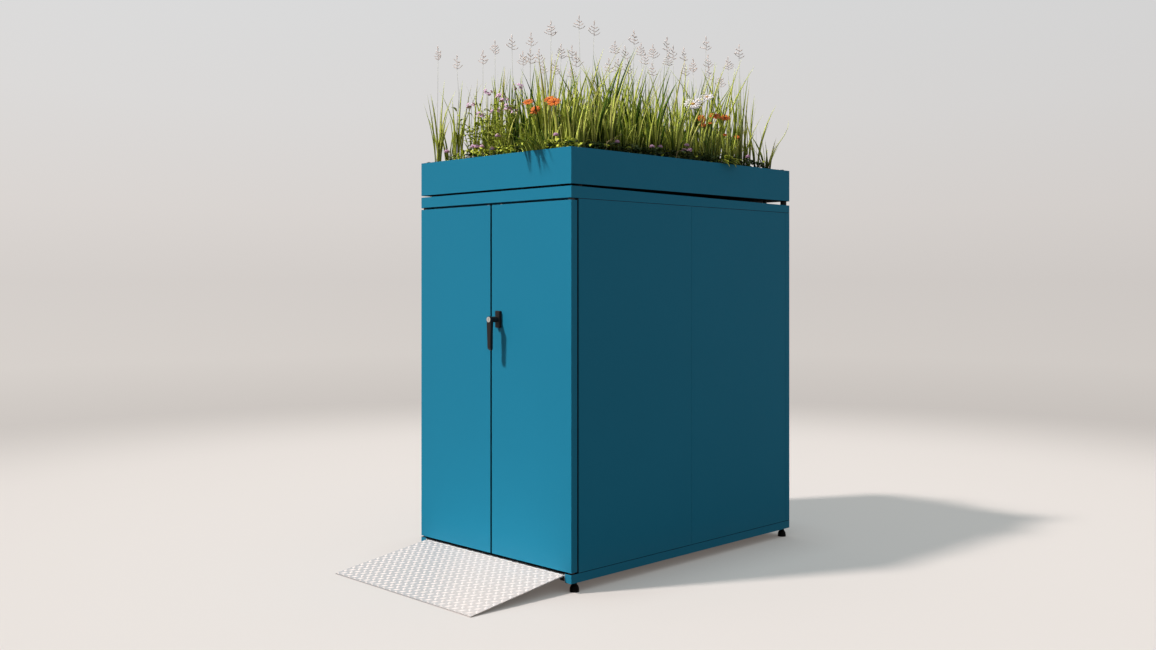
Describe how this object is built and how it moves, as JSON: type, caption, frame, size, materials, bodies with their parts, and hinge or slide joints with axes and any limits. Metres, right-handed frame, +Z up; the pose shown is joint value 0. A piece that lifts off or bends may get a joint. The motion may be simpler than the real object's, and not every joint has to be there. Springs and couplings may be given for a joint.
{
  "type": "pushchair storage box",
  "caption": "Free-standing sheet-steel storage box for a pushchair, with two front doors, a lever lock, a slide-out ramp, levelling feet and a planted roof tray.",
  "frame": {"origin": "on the ground below the middle of the box's footprint, without the ramp", "axes": "+Z up; -Y to the front, where the doors and the ramp are; +X to the right seen from the front"},
  "size_m": [0.8148, 1.6472, 1.99],
  "materials": {
    "blue_powder_coat": "satin",
    "black_painted_steel": "satin",
    "zinc_plated_steel": "satin",
    "galvanised_floor": "satin",
    "tread_aluminium": "satin",
    "black_foot_plastic": "matte",
    "black_rubber": "matte",
    "black_plastic": "matte",
    "handle_black": "satin",
    "lock_nickel": "polished",
    "drainage_plastic": "matte",
    "soil": "matte",
    "plants": "matte"
  },
  "bodies": {
    "root": {"base_rail_left": "blue_powder_coat", "base_rail_right": "blue_powder_coat", "base_rail_rear": "blue_powder_coat", "floor_crossbars": "black_painted_steel", "rail_end_caps": "blue_powder_coat", "floor_plate": "galvanised_floor", "foot_inserts": "zinc_plated_steel", "posts_left": "black_painted_steel", "posts_right": "black_painted_steel", "header_rail": "blue_powder_coat", "top_rail_left": "black_painted_steel", "top_rail_right": "black_painted_steel", "roof_crossbars": "black_painted_steel", "side_panel_left_front": "blue_powder_coat", "side_panel_left_rear": "blue_powder_coat", "side_panel_right_front": "blue_powder_coat", "side_panel_right_rear": "blue_powder_coat", "rear_panel": "blue_powder_coat", "roof_cap": "blue_powder_coat", "roof_packers": "black_rubber", "door_stop": "black_painted_steel", "door_seal": "black_rubber", "pivot_pins": "zinc_plated_steel", "ramp_guide_left": "zinc_plated_steel", "ramp_guide_right": "zinc_plated_steel", "planter_spacers": "black_rubber", "planter_bolts": "zinc_plated_steel", "planter_tray": "blue_powder_coat", "drain_spouts": "black_plastic", "drainage_mat": "drainage_plastic", "soil": "soil", "planting": "plants"},
    "door_left_body": {"door_left": "blue_powder_coat", "door_bushes_left": "black_plastic", "stiffeners_left": "blue_powder_coat", "flush_bolt_guides": "black_painted_steel"},
    "door_right_body": {"door_right": "blue_powder_coat", "door_bushes_right": "black_plastic", "stiffeners_right": "blue_powder_coat", "handle_plate": "handle_black", "handle_screws": "zinc_plated_steel", "lock_rod_guides": "black_painted_steel"},
    "lever": {"handle_lever": "handle_black", "handle_spindle": "zinc_plated_steel", "lock_cam": "zinc_plated_steel"},
    "key": {"key_plug": "lock_nickel"},
    "rod_upper": {"lock_rod_upper": "zinc_plated_steel"},
    "rod_lower": {"lock_rod_lower": "zinc_plated_steel"},
    "bolt_upper": {"flush_bolt_upper": "zinc_plated_steel"},
    "bolt_lower": {"flush_bolt_lower": "zinc_plated_steel"},
    "ramp_slider": {"ramp_carriage": "black_painted_steel", "ramp_hinge_pin": "zinc_plated_steel"},
    "ramp_flap": {"ramp_plate": "tread_aluminium", "ramp_hinge_leaf": "zinc_plated_steel"},
    "leveller_front_left": {"foot_front_left": "black_foot_plastic"},
    "leveller_front_right": {"foot_front_right": "black_foot_plastic"},
    "leveller_rear_left": {"foot_rear_left": "black_foot_plastic"},
    "leveller_rear_right": {"foot_rear_right": "black_foot_plastic"}
  },
  "joints": [
    {"name": "door_left_swing", "type": "hinge", "parent": "root", "child": "door_left_body", "pos_m": [-0.386, -0.5985, 0.675], "axis": [0, 0, -1], "range_deg": [0, 120]},
    {"name": "door_right_swing", "type": "hinge", "parent": "root", "child": "door_right_body", "pos_m": [0.386, -0.5985, 0.675], "axis": [0, 0, 1], "range_deg": [0, 120]},
    {"name": "lever_turn", "type": "hinge", "parent": "door_right_body", "child": "lever", "pos_m": [0.044, -0.6125, 0.8875], "axis": [0, -1, 0], "range_deg": [0, 90]},
    {"name": "key_turn", "type": "hinge", "parent": "lever", "child": "key", "pos_m": [0.044, -0.6125, 0.8875], "axis": [0, -1, 0], "range_deg": [0, 90]},
    {"name": "rod_upper_slide", "type": "slide", "parent": "door_right_body", "child": "rod_upper", "axis": [0, 0, 1], "range_m": [-0.015, 0]},
    {"name": "rod_lower_slide", "type": "slide", "parent": "door_right_body", "child": "rod_lower", "axis": [0, 0, 1], "range_m": [0, 0.015]},
    {"name": "bolt_upper_slide", "type": "slide", "parent": "door_left_body", "child": "bolt_upper", "axis": [0, 0, 1], "range_m": [-0.015, 0]},
    {"name": "bolt_lower_slide", "type": "slide", "parent": "door_left_body", "child": "bolt_lower", "axis": [0, 0, 1], "range_m": [0, 0.015]},
    {"name": "ramp_slide", "type": "slide", "parent": "root", "child": "ramp_slider", "axis": [0, 1, 0], "range_m": [0, 0.396]},
    {"name": "ramp_tilt", "type": "hinge", "parent": "ramp_slider", "child": "ramp_flap", "pos_m": [0, -0.606, 0.052], "axis": [-1, 0, 0], "range_deg": [0, 7.81]},
    {"name": "foot_front_left_level", "type": "slide", "parent": "root", "child": "leveller_front_left", "axis": [0, 0, -1], "range_m": [0, 0.012]},
    {"name": "foot_front_right_level", "type": "slide", "parent": "root", "child": "leveller_front_right", "axis": [0, 0, -1], "range_m": [0, 0.012]},
    {"name": "foot_rear_left_level", "type": "slide", "parent": "root", "child": "leveller_rear_left", "axis": [0, 0, -1], "range_m": [0, 0.012]},
    {"name": "foot_rear_right_level", "type": "slide", "parent": "root", "child": "leveller_rear_right", "axis": [0, 0, -1], "range_m": [0, 0.012]}
  ],
  "couplings": [
    {"joint": "rod_upper_slide", "follows": "lever_turn", "m_per_rad": -0.00954},
    {"joint": "rod_lower_slide", "follows": "lever_turn", "m_per_rad": 0.00954},
    {"joint": "ramp_tilt", "follows": "ramp_slide", "rad_per_m": 0.3442}
  ]
}
